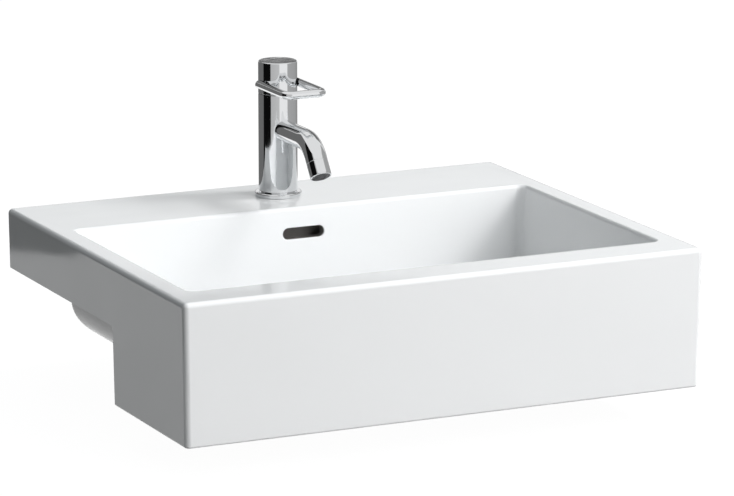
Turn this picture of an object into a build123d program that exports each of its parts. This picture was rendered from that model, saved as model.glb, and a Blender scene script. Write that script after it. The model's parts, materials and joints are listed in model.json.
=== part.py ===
from build123d import *
from math import asin, cos, degrees, pi, radians, sin, tan
import os

# Inset basin with a single-lever mixer tap and a push-open waste. Lengths in millimetres, angles in degrees.
# The origin is the middle of the slab's bottom back edge, where the worktop meets the wall.
# +X points right, +Y into the wall and +Z up, and the top of the worktop is the plane Z = 0.

# Outside of the basin's casting
basin_width = 550.0
basin_depth = 460.0
slab_height = 61.0
apron_drop = 79.0
apron_depth = 181.0
casting_draft = 0.7
corner_radius = 5.5
top_radius = 5.0
foot_radius = 2.2
notch_radius = 4.5

# Walls of the casting
skirt_wall = 13.0
deck_thickness = 14.0
bowl_wall = 10.0
floor_thickness = 12.0
cavity_corner = 10.0

# Bowl
rim_side = 25.0
rim_front = 46.5
ledge_depth = 122.0
bowl_depth = 91.0
side_draft = 3.0
end_draft = 0.6
bowl_corner = 8.0
floor_corner = 18.0
floor_radius = 18.0
floor_fall = 3.0
floor_fall_radius = 112.0
rim_radius = 4.0
bowl_levels = 4

# Overflow in the bowl's back wall and its duct down to the waste
overflow_width = 46.0
overflow_height = 12.0
overflow_drop = 27.0
overflow_bevel = 1.0
duct_width = 56.0
duct_gap = 12.0
duct_height = 9.0
duct_wall = 6.0
duct_headroom = 4.0

# Waste hole
waste_hole_radius = 23.0
recess_radius = 34.0
recess_depth = 4.0
waste_boss_radius = 38.0

# Tap hole and the tap's place on the ledge
tap_setback = 59.0
tap_hole_radius = 17.5

# Tap column and the ring at its foot
column_radius = 20.0
column_height = 106.7
spigot_radius = 16.2
spigot_drop = 5.0
foot_gap = 1.0
foot_gap_inset = 1.4
foot_edge = 0.8
ring_radius = 24.0
ring_height = 4.5
ring_lift = 0.3
ring_edge = 1.5
ring_clearance = 0.2
gasket_outer = 22.2
gasket_width = 4.0
gasket_height = 1.3
inlet_spacing = 14.0
inlet_offset = 3.5
inlet_radius = 4.55
inlet_depth = 14.0
waterway_radius = 3.0
outlet_offset = 7.5

# Spout
spout_height = 70.4
spout_radius = 11.0
spout_bore = 8.4
spout_reach = 66.5
spout_bend = 33.0
spout_angle = 55.0
spout_leg = 5.8
spout_root = 9.0
spout_root_radius = 9.6
sleeve_length = 16.0
sleeve_wall = 1.4
sleeve_thread = 5.0
sleeve_shoulder = 4.0
insert_recess = 1.2
insert_hole_radius = 0.9
insert_pitch = 1.5
insert_rows = 5
washer_height = 1.6
joint_clearance = 0.1

# Head of the tap, above the split line
split_gap = 0.6
head_height = 33.2
head_wall = 4.1
head_top = 4.0
head_edge = 1.5
glide_inset = 0.8
glide_collar = 2.6
glide_collar_wall = 0.7
running_gap = 0.3

# Loop lever and its pivot
pivot_height = 116.85
wire_radius = 4.3
loop_half_width = 20.5
loop_reach = 69.0
loop_bend = 8.2
lever_lift = 25.0
pin_radius = 2.5
pin_fit = 0.05
bush_radius = 3.75
bush_flange_radius = 4.5
bush_flange = 1.45
bush_proud = 0.1
arm_gap = 0.3
arm_wall = 1.6
yoke_size = 11.0
yoke_chamfer = 2.0
yoke_gap = 1.0
bush_inset = 0.9
stem_size = 7.0
stem_drop = 15.3
stem_gap = 0.35
screw_radius = 2.0

# Cartridge
socket_radius = 14.0
socket_floor = 85.0
nut_seat = 99.0
nut_radius = 17.0
nut_height = 7.0
nut_bore = 11.7
housing_wall = 1.8
housing_floor = 2.3
seal_height = 1.2
seal_bore = 3.4
seal_width = 1.5
disc_height = 3.5
disc_gap = 0.2
housing_gap = 0.2
port_radius = 2.6
moving_disc_height = 4.6
turret_flange = 2.1
turret_radius = 11.4
turret_clearance = 0.08
slot_margin = 0.5
key_width = 3.0
key_depth = 2.0
key_count = 4

# Fixing of the tap below the ledge
stud_radius = 4.0
stud_offset = 11.0
stud_grip = 13.0
stud_spare = 4.0
thread_clearance = 0.02
shoe_radius = 23.0
shoe_slot_width = 25.6
shoe_slot_front = 2.6
shoe_slot_corner = 5.0
shoe_gasket_height = 3.0
shoe_washer_height = 2.5
fixing_nut_height = 8.0
fixing_nut_flats = 13.0

# Waste
flange_radius = 31.5
flange_height = 3.0
flange_chamfer = 0.6
flange_bore = 16.0
flange_spigot = 6.0
seat_radius = 27.0
seat_depth = 1.5
top_seal_height = 2.5
top_seal_outer = 30.5
tail_radius = 20.95
tail_wall = 2.95
tail_length = 83.0
tail_relief = 0.5
tail_relief_height = 1.6
tail_clearance = 0.25
window_width = 15.0
window_count = 4
bottom_seal_outer = 32.0
bottom_seal_height = 8.0
bottom_seal_taper = 5.0
slip_height = 2.0
slip_outer = 31.0
waste_nut_radius = 33.0
waste_nut_height = 12.0
cover_radius = 29.0
cover_edge = 2.0
cover_dome = 2.2
cover_flat = 8.0
cover_lift = 0.5
cover_chamfer = 0.6
plug_seal_outer = 25.0
plug_seal_inner = 19.5
plug_travel = 9.0
plug_stem_radius = 4.0
guide_radius = 8.0
guide_arm_width = 4.0
guide_arm_height = 6.0
guide_arm_count = 3
guide_drop = 24.0
guide_hold = 9.5
guide_spare = 2.5
guide_floor = 2.0
guide_fit = 0.06

# Places worked out from the sizes above
lean = tan(radians(casting_draft))
casting_height = slab_height + apron_drop
notch_y = apron_depth - basin_depth
deck_underside = slab_height - deck_thickness
floor_z = slab_height - bowl_depth
recess_z = floor_z - floor_fall - recess_depth
shell_bottom = floor_z - floor_thickness
boss_bottom = shell_bottom - duct_height - duct_wall
waste_y = (rim_front - basin_depth - ledge_depth) / 2
overflow_z = slab_height - overflow_drop
tap_y = -tap_setback
spigot_bottom = slab_height - spigot_drop
ring_top = slab_height + ring_height
column_foot = ring_top + foot_gap
column_top = slab_height + column_height
head_bottom = column_top + split_gap
head_bore = column_radius - head_wall
head_roof = head_bottom + head_height
pivot_z = slab_height + pivot_height
socket_z = slab_height + socket_floor
nut_z = slab_height + nut_seat
spout_z = slab_height + spout_height

tap_front = Plane.XZ.offset(tap_setback)
tap_axis = Axis((0, tap_y, 0), (0, 0, 1))
waste_front = Plane.XZ.offset(-waste_y)
waste_axis = Axis((0, waste_y, 0), (0, 0, 1))
pivot_side = Plane(origin=(0, tap_y, pivot_z), x_dir=(0, 1, 0), z_dir=(1, 0, 0))


def turn(outline, plane, axis, mode=Mode.ADD):
    """Revolve a closed half outline of (radius, height) points about an upright axis."""
    with BuildSketch(plane) as section:
        with BuildLine():
            Polyline(*outline, close=True)
        make_face()
    revolve(section.sketch, axis=axis, mode=mode)


def turn_ring(inner, outer, bottom, top, plane, axis, mode=Mode.ADD):
    """Revolve a plain ring, or a disc where the inner radius is nothing."""
    turn([(inner, bottom), (outer, bottom), (outer, top), (inner, top)], plane, axis, mode)


def bowl_outline(depth, inset, grow, corner):
    """Draw the bowl's level outline at a depth below the deck, drawn in by an inset and grown by a wall."""
    side = basin_width / 2 - rim_side - depth * tan(radians(side_draft)) - inset + grow
    front = rim_front - basin_depth + depth * tan(radians(side_draft)) + inset - grow
    back = -ledge_depth - depth * tan(radians(end_draft)) - inset + grow
    with BuildSketch(Plane.XY.offset(slab_height - depth)) as outline:
        with Locations((0, (front + back) / 2)):
            RectangleRounded(2 * side, back - front, corner + grow)
    return outline.sketch


def bowl_form(wall, floor):
    """Make the bowl's solid: drafted walls and a quarter round into the floor, grown by wall and floor."""
    straight = bowl_depth - floor_radius
    with BuildPart() as form:
        brim = bowl_outline(0, 0, wall, bowl_corner)
        loft([brim, bowl_outline(straight, 0, wall, bowl_corner)], ruled=True)
        levels = []
        for step in range(bowl_levels + 1):
            share = step / bowl_levels
            inset = (floor_radius + wall) * (1 - cos(share * pi / 2))
            sink = (floor_radius + floor) * sin(share * pi / 2)
            corner = bowl_corner + (floor_corner - bowl_corner) * share
            levels.append(bowl_outline(straight, inset, wall, corner).moved(Location((0, 0, -sink))))
        loft(levels)
    return form.part


os.makedirs("parts", exist_ok=True)

bowl_space = bowl_form(0, 0)
bowl_shell = bowl_form(bowl_wall, floor_thickness)

# Outside of the casting: the side view run across the width, its sides drafted and its uprights rounded
with BuildPart() as casting:
    with BuildSketch(Plane.YZ):
        with BuildLine():
            Polyline(
                (0, 0),
                (0, slab_height),
                (-basin_depth, slab_height),
                (lean * casting_height - basin_depth, -apron_drop),
                (notch_y - lean * apron_drop, -apron_drop),
                (notch_y, 0),
                close=True,
            )
        make_face()
    extrude(amount=basin_width / 2, both=True)
    with BuildSketch(Plane.XZ):
        with BuildLine():
            Polyline(
                (-basin_width / 2, slab_height),
                (basin_width / 2, slab_height),
                (basin_width / 2 - lean * casting_height, -apron_drop),
                (lean * casting_height - basin_width / 2, -apron_drop),
                close=True,
            )
        make_face()
    extrude(amount=basin_depth, mode=Mode.INTERSECT)
    uprights = edges().filter_by(lambda edge: edge.bounding_box().size.Z > slab_height - top_radius)
    fillet(uprights.filter_by(lambda edge: edge.bounding_box().max.Z > top_radius), corner_radius)
    fillet(edges().group_by(Axis.Z)[-1], top_radius)

# Apron: the part of the casting that hangs below the worktop's top, rounded at its foot and its rear corners
with BuildPart() as apron:
    add(casting.part)
    split(bisect_by=Plane.XY, keep=Keep.BOTTOM)
    rear = edges().filter_by(lambda edge: edge.bounding_box().size.Z > apron_drop / 2).group_by(Axis.Y)[-1]
    fillet(edges().group_by(Axis.Z)[0] + rear, foot_radius)

# Basin: the slab and its apron, hollow below, with the bowl, its overflow duct and the waste boss cast in
with BuildPart() as basin:
    add(casting.part)
    split(bisect_by=Plane.XY, keep=Keep.TOP)
    add(apron.part)
    with BuildSketch(Plane.YZ):
        with BuildLine():
            Line((notch_y - foot_radius, 0), (notch_y + notch_radius, 0))
            RadiusArc((notch_y + notch_radius, 0), (notch_y, -notch_radius), -notch_radius)
            Line((notch_y, -notch_radius), (notch_y - foot_radius, -notch_radius))
            Line((notch_y - foot_radius, -notch_radius), (notch_y - foot_radius, 0))
        make_face()
    extrude(amount=basin_width / 2 - foot_radius - lean * casting_height, both=True)

    with BuildSketch(Plane.XY.offset(deck_underside)):
        with Locations((0, -basin_depth / 2)):
            RectangleRounded(
                2 * (basin_width / 2 - rim_side + bowl_wall), basin_depth - 2 * skirt_wall, cavity_corner
            )
    extrude(amount=-(deck_underside + apron_drop), mode=Mode.SUBTRACT)
    add(bowl_shell)

    with BuildSketch(Plane.XY.offset(boss_bottom)):
        with Locations((0, waste_y)):
            Circle(waste_boss_radius)
        with Locations((0, (waste_y - ledge_depth + bowl_wall + duct_gap + duct_wall) / 2)):
            Rectangle(
                duct_width + 2 * duct_wall, bowl_wall + duct_gap + duct_wall - ledge_depth - waste_y
            )
    extrude(amount=floor_z - boss_bottom)
    with BuildSketch(Plane.XY.offset(boss_bottom)):
        with Locations((0, bowl_wall + (duct_gap + duct_wall) / 2 - ledge_depth)):
            Rectangle(duct_width + 2 * duct_wall, duct_gap + duct_wall)
    extrude(amount=deck_underside - boss_bottom)
    add(bowl_space, mode=Mode.SUBTRACT)

    with BuildSketch(Plane.XY.offset(boss_bottom + duct_wall)):
        with Locations((0, bowl_wall + duct_gap / 2 - ledge_depth)):
            Rectangle(duct_width, duct_gap)
    extrude(amount=deck_underside - duct_headroom - boss_bottom - duct_wall, mode=Mode.SUBTRACT)
    with BuildSketch(Plane.XY.offset(boss_bottom + duct_wall)):
        with Locations((0, (waste_y + bowl_wall + duct_gap - ledge_depth) / 2)):
            Rectangle(duct_width, bowl_wall + duct_gap - ledge_depth - waste_y)
    extrude(amount=duct_height, mode=Mode.SUBTRACT)
    with BuildSketch(Plane.XZ.offset(ledge_depth - bowl_wall - duct_gap / 2)):
        with Locations((0, overflow_z)):
            SlotOverall(overflow_width, overflow_height)
    extrude(amount=bowl_wall + duct_gap, mode=Mode.SUBTRACT)

    turn(
        [
            (0, floor_z + floor_fall),
            (floor_fall_radius, floor_z + floor_fall),
            (floor_fall_radius, floor_z),
            (recess_radius, floor_z - floor_fall),
            (recess_radius, recess_z),
            (0, recess_z),
        ],
        waste_front,
        waste_axis,
        Mode.SUBTRACT,
    )
    turn_ring(0, waste_hole_radius, boss_bottom - duct_wall, floor_z, waste_front, waste_axis, Mode.SUBTRACT)
    turn_ring(0, tap_hole_radius, 0, slab_height + deck_thickness, tap_front, tap_axis, Mode.SUBTRACT)
    deck = faces().sort_by(Axis.Z)[-1]
    bowl_rim = deck.inner_wires().sort_by(lambda wire: wire.length)[-1]
    fillet(bowl_rim.edges(), rim_radius)
    mouth = edges().filter_by_position(Axis.Z, overflow_z - overflow_height, overflow_z + overflow_height)
    mouth = mouth.filter_by_position(Axis.X, -overflow_width, overflow_width)
    fillet(mouth.filter_by_position(Axis.Y, -ledge_depth - bowl_wall, -ledge_depth), overflow_bevel)
basin.part.label = "basin"
export_step(basin.part, "parts/basin.step")

# Tap column, with the foot groove, the cartridge socket, the waterways and the spout's seat
with BuildPart() as tap_body:
    turn(
        [
            (0, spigot_bottom),
            (spigot_radius, spigot_bottom),
            (spigot_radius, ring_top),
            (column_radius - foot_gap_inset, ring_top),
            (column_radius - foot_gap_inset, column_foot),
            (column_radius, column_foot),
            (column_radius, column_top),
            (nut_radius, column_top),
            (nut_radius, nut_z),
            (socket_radius, nut_z),
            (socket_radius, socket_z),
            (0, socket_z),
        ],
        tap_front,
        tap_axis,
    )
    foot = edges().filter_by(GeomType.CIRCLE).group_by(lambda edge: edge.radius)[-1].sort_by(Axis.Z)[0]
    fillet(foot, foot_edge)
    with BuildSketch(Plane.XY.offset(spigot_bottom)) as threads:
        with Locations((0, tap_y + inlet_offset)):
            with GridLocations(inlet_spacing, 0, 2, 1):
                Circle(inlet_radius)
    extrude(threads.sketch, amount=inlet_depth, mode=Mode.SUBTRACT)
    with BuildSketch(Plane.XY.offset(spigot_bottom)) as feeds:
        with Locations((0, tap_y + inlet_offset)):
            with GridLocations(inlet_spacing, 0, 2, 1):
                Circle(waterway_radius)
    extrude(feeds.sketch, amount=socket_z - spigot_bottom, mode=Mode.SUBTRACT)
    with BuildSketch(Plane.XY.offset(spigot_bottom)) as stud_thread:
        with Locations((0, tap_y - stud_offset)):
            Circle(stud_radius + thread_clearance)
    extrude(stud_thread.sketch, amount=stud_grip, mode=Mode.SUBTRACT)
    with BuildSketch(Plane.XY.offset(spout_z)) as outlet:
        with Locations((0, tap_y - outlet_offset)):
            Circle(waterway_radius)
    extrude(outlet.sketch, amount=socket_z - spout_z, mode=Mode.SUBTRACT)
    seat_plane = Plane.XZ.offset(tap_setback + column_radius - spout_root)
    with BuildSketch(seat_plane) as spout_seat:
        with Locations((0, spout_z)):
            Circle(spout_root_radius + joint_clearance)
    extrude(spout_seat.sketch, amount=spout_root + joint_clearance, mode=Mode.SUBTRACT)
    with BuildSketch(seat_plane) as spout_feed:
        with Locations((0, spout_z)):
            Circle(waterway_radius)
    extrude(spout_feed.sketch, amount=-(column_radius - spout_root - outlet_offset), mode=Mode.SUBTRACT)
tap_body.part.label = "tap_body"
export_step(tap_body.part, "parts/tap_body.step")

# Ring at the column's foot, with a groove below for its gasket
with BuildPart() as base_ring:
    turn_ring(
        spigot_radius + ring_clearance, ring_radius, slab_height + ring_lift, ring_top, tap_front, tap_axis
    )
    turn_ring(
        gasket_outer - gasket_width - ring_clearance,
        gasket_outer + ring_clearance,
        slab_height,
        slab_height + gasket_height,
        tap_front,
        tap_axis,
        Mode.SUBTRACT,
    )
    rim = edges().filter_by(GeomType.CIRCLE).group_by(Axis.Z)[-1].sort_by(lambda edge: edge.radius)[-1]
    fillet(rim, ring_edge)
base_ring.part.label = "base_ring"
export_step(base_ring.part, "parts/base_ring.step")

with BuildPart() as base_gasket:
    turn_ring(
        gasket_outer - gasket_width,
        gasket_outer,
        slab_height,
        slab_height + gasket_height,
        tap_front,
        tap_axis,
    )
base_gasket.part.label = "base_gasket"
export_step(base_gasket.part, "parts/base_gasket.step")

# Spout: a tube that leaves the column level and bends down, scribed to the column round its root
with BuildLine(Plane.YZ) as spout_route:
    run = Line((tap_y - column_radius + spout_root, spout_z), (tap_y - spout_reach, spout_z))
    bend = JernArc(run @ 1, run % 1, spout_bend, spout_angle)
    Line(bend @ 1, (bend @ 1) + (bend % 1) * spout_leg)
spout_start = Plane(origin=spout_route.line @ 0, x_dir=(1, 0, 0), z_dir=spout_route.line % 0)
spout_end = Plane(origin=spout_route.line @ 1, x_dir=(1, 0, 0), z_dir=spout_route.line % 1)

with BuildPart() as spout:
    with BuildSketch(spout_start) as tube:
        Circle(spout_radius)
    sweep(tube.sketch, path=spout_route.line)
    turn_ring(0, column_radius + thread_clearance, 0, head_roof, tap_front, tap_axis, Mode.SUBTRACT)
    with BuildSketch(spout_start) as root:
        Circle(spout_root_radius)
    extrude(root.sketch, amount=spout_root + joint_clearance)
    with BuildSketch(spout_start) as bore:
        Circle(spout_bore)
    sweep(bore.sketch, path=spout_route.line, mode=Mode.SUBTRACT)
spout.part.label = "spout"
export_step(spout.part, "parts/spout.step")

# Mouth of the spout: a screwed sleeve that holds a washer and a honeycomb insert
with BuildPart(spout_end) as aerator_sleeve:
    Cylinder(spout_radius, sleeve_length, align=(Align.CENTER, Align.CENTER, Align.MIN))
    Cylinder(
        spout_bore - joint_clearance, sleeve_thread, align=(Align.CENTER, Align.CENTER, Align.MAX)
    )
    Cylinder(
        spout_bore - joint_clearance - sleeve_wall,
        sleeve_length,
        mode=Mode.SUBTRACT,
    )
    with Locations((0, 0, sleeve_shoulder)):
        Cylinder(
            spout_radius - sleeve_wall,
            sleeve_length,
            align=(Align.CENTER, Align.CENTER, Align.MIN),
            mode=Mode.SUBTRACT,
        )
aerator_sleeve.part.label = "aerator_sleeve"
export_step(aerator_sleeve.part, "parts/aerator_sleeve.step")

with BuildPart(spout_end.offset(sleeve_shoulder)) as aerator_washer:
    Cylinder(
        spout_radius - sleeve_wall - joint_clearance,
        washer_height,
        align=(Align.CENTER, Align.CENTER, Align.MIN),
    )
    Cylinder(spout_bore - sleeve_wall, sleeve_length, mode=Mode.SUBTRACT)
aerator_washer.part.label = "aerator_washer"
export_step(aerator_washer.part, "parts/aerator_washer.step")

with BuildPart(spout_end.offset(sleeve_shoulder + washer_height)) as aerator_insert:
    Cylinder(
        spout_radius - sleeve_wall - joint_clearance,
        sleeve_length - sleeve_shoulder - washer_height - insert_recess,
        align=(Align.CENTER, Align.CENTER, Align.MIN),
    )
    with HexLocations(insert_pitch, insert_rows, insert_rows):
        Cylinder(insert_hole_radius, 2 * sleeve_length, mode=Mode.SUBTRACT)
aerator_insert.part.label = "aerator_insert"
export_step(aerator_insert.part, "parts/aerator_insert.step")

# Head: a hood over the cartridge, with a counterbored hole through each side for the lever's pivot
bush_seat = column_radius + bush_proud - bush_flange
with BuildPart() as head_cap:
    turn(
        [
            (head_bore, head_bottom),
            (column_radius, head_bottom),
            (column_radius, head_roof),
            (0, head_roof),
            (0, head_roof - head_top),
            (head_bore, head_roof - head_top),
        ],
        tap_front,
        tap_axis,
    )
    fillet(edges().filter_by(GeomType.CIRCLE).sort_by(Axis.Z)[-1], head_edge)
    with BuildSketch(pivot_side) as bush_hole:
        Circle(bush_radius + thread_clearance)
    extrude(bush_hole.sketch, amount=2 * column_radius, both=True, mode=Mode.SUBTRACT)
    for side in (1, -1):
        with BuildSketch(pivot_side.offset(side * bush_seat)) as counterbore:
            Circle(bush_flange_radius + joint_clearance)
        extrude(counterbore.sketch, amount=side * column_radius, mode=Mode.SUBTRACT)
head_cap.part.label = "head_cap"
export_step(head_cap.part, "parts/head_cap.step")

# Glide ring: fills the split line, carries the head and centres it with a collar
with BuildPart() as glide_ring:
    collar_outer = head_bore - running_gap
    turn(
        [
            (collar_outer - glide_collar_wall, column_top),
            (column_radius - glide_inset, column_top),
            (column_radius - glide_inset, head_bottom),
            (collar_outer, head_bottom),
            (collar_outer, head_bottom + glide_collar),
            (collar_outer - glide_collar_wall, head_bottom + glide_collar),
        ],
        tap_front,
        tap_axis,
    )
glide_ring.part.label = "glide_ring"
export_step(glide_ring.part, "parts/glide_ring.step")

# Lever: one bent wire, milled flat inside each end where it passes the head and rounded behind its pivot
arm_flat = column_radius + bush_proud + arm_gap
pin_reach = loop_half_width + wire_radius - arm_wall
relief_inner = loop_half_width - wire_radius - ring_clearance
relief_end = (
    ((column_radius + running_gap) ** 2 - relief_inner**2) ** 0.5 / cos(radians(lever_lift))
    + wire_radius * sin(radians(lever_lift)) / 2
)
relief_start = relief_end - (arm_flat - relief_inner)
with BuildLine(Plane.XY.offset(pivot_z)) as loop_route:
    FilletPolyline(
        (-loop_half_width, tap_y),
        (-loop_half_width, tap_y - loop_reach),
        (loop_half_width, tap_y - loop_reach),
        (loop_half_width, tap_y),
        radius=loop_bend,
    )
with BuildPart() as loop_handle:
    with BuildSketch(Plane(origin=loop_route.line @ 0, z_dir=loop_route.line % 0)) as wire:
        Circle(wire_radius)
    sweep(wire.sketch, path=loop_route.line)
    with Locations(loop_route.line @ 0, loop_route.line @ 1):
        Sphere(wire_radius)
    with BuildSketch(Plane.XY.offset(pivot_z)) as relief:
        with BuildLine():
            Polyline(
                (arm_flat, tap_y + 2 * wire_radius),
                (arm_flat, tap_y - relief_start),
                (relief_inner, tap_y - relief_end),
                (-relief_inner, tap_y - relief_end),
                (-arm_flat, tap_y - relief_start),
                (-arm_flat, tap_y + 2 * wire_radius),
                close=True,
            )
        make_face()
    extrude(relief.sketch, amount=2 * wire_radius, both=True, mode=Mode.SUBTRACT)
    with BuildSketch(pivot_side) as pin_hole:
        Circle(pin_radius + thread_clearance)
    extrude(pin_hole.sketch, amount=pin_reach, both=True, mode=Mode.SUBTRACT)
loop_handle.part.label = "loop_handle"
export_step(loop_handle.part, "parts/loop_handle.step")

# Pivot of the lever: a pin pressed into each arm turns in a flanged bush in the head's wall
bush_end = head_bore - bush_inset
yoke_half = bush_end - yoke_gap
pin_inner = (stem_size + yoke_half) / 2
with BuildPart() as pivot_bushes:
    with BuildSketch(pivot_side.offset(bush_end)) as bush:
        Circle(bush_radius)
    extrude(bush.sketch, amount=bush_seat - bush_end)
    with BuildSketch(pivot_side.offset(bush_seat)) as bush_collar:
        Circle(bush_flange_radius)
    extrude(bush_collar.sketch, amount=bush_flange)
    with BuildSketch(pivot_side) as bush_bore:
        Circle(pin_radius + pin_fit)
    extrude(bush_bore.sketch, amount=2 * column_radius, mode=Mode.SUBTRACT)
    mirror(about=Plane.YZ)
pivot_bushes.part.label = "pivot_bushes"
export_step(pivot_bushes.part, "parts/pivot_bushes.step")

with BuildPart() as pivot_pins:
    with BuildSketch(pivot_side.offset(pin_inner)) as pin:
        Circle(pin_radius)
    extrude(pin.sketch, amount=pin_reach - pin_inner)
    mirror(about=Plane.YZ)
pivot_pins.part.label = "pivot_pins"
export_step(pivot_pins.part, "parts/pivot_pins.step")

# Yoke inside the head: joins both pins and clamps the cartridge's stem with a screw from behind
with BuildPart(Plane(origin=(0, tap_y, pivot_z))) as lever_yoke:
    Box(2 * yoke_half, yoke_size, yoke_size)
    chamfer(edges().filter_by(Axis.X), yoke_chamfer)
    Box(stem_size + 2 * joint_clearance, stem_size + 2 * joint_clearance, 2 * yoke_size, mode=Mode.SUBTRACT)
    with BuildSketch(Plane.XZ.offset(tap_setback)) as screw_hole:
        with Locations((0, pivot_z)):
            Circle(screw_radius + thread_clearance)
    extrude(screw_hole.sketch, amount=-yoke_size, mode=Mode.SUBTRACT)
    for side in (1, -1):
        with BuildSketch(pivot_side.offset(side * pin_inner)) as pin_socket:
            Circle(pin_radius + thread_clearance)
        extrude(pin_socket.sketch, amount=side * yoke_half, mode=Mode.SUBTRACT)
lever_yoke.part.label = "lever_yoke"
export_step(lever_yoke.part, "parts/lever_yoke.step")

with BuildPart() as yoke_screw:
    with BuildSketch(Plane.XZ.offset(tap_setback - stem_size / 2)) as screw:
        with Locations((0, pivot_z)):
            Circle(screw_radius)
    extrude(screw.sketch, amount=-(yoke_size - stem_size) / 2)
yoke_screw.part.label = "yoke_screw"
export_step(yoke_screw.part, "parts/yoke_screw.step")

with BuildPart(Plane(origin=(0, tap_y, pivot_z - stem_drop))) as cartridge_stem:
    Box(
        stem_size,
        stem_size,
        stem_drop + yoke_size / 2,
        align=(Align.CENTER, Align.CENTER, Align.MIN),
    )
cartridge_stem.part.label = "cartridge_stem"
export_step(cartridge_stem.part, "parts/cartridge_stem.step")

# Cartridge: a housing with three ports, two ceramic discs and a turret in which the stem tips
housing_bottom = socket_z + seal_height
housing_radius = socket_radius - housing_gap
housing_bore = housing_radius - housing_wall
disc_z = housing_bottom + housing_floor
moving_disc_z = disc_z + disc_height
turret_bottom = moving_disc_z + moving_disc_height
yoke_swing = ((yoke_size / 2) ** 2 + (yoke_size / 2 - yoke_chamfer) ** 2) ** 0.5
turret_top = pivot_z - yoke_swing - stem_gap
stem_swing = (stem_drop**2 + (stem_size / 2) ** 2) ** 0.5
slot_front = (
    stem_drop * sin(radians(lever_lift)) + stem_size / 2 * cos(radians(lever_lift)) + slot_margin
)


def ports(radius, bottom, height):
    """Cut the three water ports through a disc, or a floor, of the cartridge."""
    with BuildSketch(Plane.XY.offset(bottom)) as holes:
        with Locations((0, tap_y + inlet_offset)):
            with GridLocations(inlet_spacing, 0, 2, 1):
                Circle(radius)
        with Locations((0, tap_y - outlet_offset)):
            Circle(radius)
    extrude(holes.sketch, amount=height, mode=Mode.SUBTRACT)


with BuildPart() as cartridge_housing:
    turn(
        [
            (0, housing_bottom),
            (housing_radius, housing_bottom),
            (housing_radius, nut_z),
            (housing_bore, nut_z),
            (housing_bore, disc_z),
            (0, disc_z),
        ],
        tap_front,
        tap_axis,
    )
    ports(port_radius, housing_bottom, housing_floor)
cartridge_housing.part.label = "cartridge_housing"
export_step(cartridge_housing.part, "parts/cartridge_housing.step")

with BuildPart() as cartridge_seals:
    with BuildSketch(Plane.XY.offset(socket_z)) as seal_rings:
        for radius, mode in ((seal_bore + seal_width, Mode.ADD), (seal_bore, Mode.SUBTRACT)):
            with Locations((0, tap_y + inlet_offset)):
                with GridLocations(inlet_spacing, 0, 2, 1):
                    Circle(radius, mode=mode)
            with Locations((0, tap_y - outlet_offset)):
                Circle(radius, mode=mode)
    extrude(seal_rings.sketch, amount=seal_height)
cartridge_seals.part.label = "cartridge_seals"
export_step(cartridge_seals.part, "parts/cartridge_seals.step")

with BuildPart() as fixed_disc:
    turn_ring(0, housing_bore - disc_gap, disc_z, moving_disc_z, tap_front, tap_axis)
    ports(port_radius, disc_z, disc_height)
fixed_disc.part.label = "fixed_disc"
export_step(fixed_disc.part, "parts/fixed_disc.step")

with BuildPart() as moving_disc:
    turn_ring(0, housing_bore - 2 * disc_gap, moving_disc_z, turret_bottom, tap_front, tap_axis)
    with BuildSketch(Plane.XY.offset(moving_disc_z)) as channel:
        with Locations((0, tap_y)):
            Circle(outlet_offset)
            Circle(port_radius, mode=Mode.SUBTRACT)
    extrude(channel.sketch, amount=moving_disc_height / 2, mode=Mode.SUBTRACT)
moving_disc.part.label = "moving_disc"
export_step(moving_disc.part, "parts/moving_disc.step")

with BuildPart() as cartridge_turret:
    turn(
        [
            (0, turret_bottom),
            (housing_bore - turret_clearance, turret_bottom),
            (housing_bore - turret_clearance, turret_bottom + turret_flange),
            (turret_radius, turret_bottom + turret_flange),
            (turret_radius, turret_top),
            (0, turret_top),
        ],
        tap_front,
        tap_axis,
    )
    with BuildSketch(Plane.XY.offset(turret_top)) as slot:
        with Locations((0, tap_y + stem_size / 2 + stem_gap)):
            Rectangle(
                stem_size + 2 * stem_gap,
                slot_front + stem_size / 2 + stem_gap,
                align=(Align.CENTER, Align.MAX),
            )
    extrude(slot.sketch, amount=-(turret_top - pivot_z + stem_swing + stem_gap), mode=Mode.SUBTRACT)
cartridge_turret.part.label = "cartridge_turret"
export_step(cartridge_turret.part, "parts/cartridge_turret.step")

with BuildPart() as cartridge_nut:
    turn_ring(nut_bore, nut_radius - joint_clearance, nut_z, nut_z + nut_height, tap_front, tap_axis)
    with BuildSketch(Plane.XY.offset(nut_z + nut_height)) as keys:
        with Locations((0, tap_y)):
            with PolarLocations(nut_radius, key_count):
                Rectangle(nut_radius - nut_bore, key_width)
    extrude(keys.sketch, amount=-key_depth, mode=Mode.SUBTRACT)
cartridge_nut.part.label = "cartridge_nut"
export_step(cartridge_nut.part, "parts/cartridge_nut.step")

# Fixing below the ledge: a stud, a horseshoe gasket and washer that leave the inlets free, and a nut
shoe_washer_top = deck_underside - shoe_gasket_height
fixing_nut_top = shoe_washer_top - shoe_washer_height
stud_bottom = fixing_nut_top - fixing_nut_height - stud_spare


def horseshoe(bottom, height):
    """Make a horseshoe plate round the stud, open at the back below the inlets."""
    with BuildSketch(Plane.XY.offset(bottom)) as shoe:
        with Locations((0, tap_y)):
            Circle(shoe_radius)
        with Locations((0, tap_y - shoe_slot_front)):
            RectangleRounded(
                shoe_slot_width,
                2 * shoe_radius,
                shoe_slot_corner,
                align=(Align.CENTER, Align.MIN),
                mode=Mode.SUBTRACT,
            )
        with Locations((0, tap_y - stud_offset)):
            Circle(stud_radius + tail_clearance, mode=Mode.SUBTRACT)
    extrude(shoe.sketch, amount=height)


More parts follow.
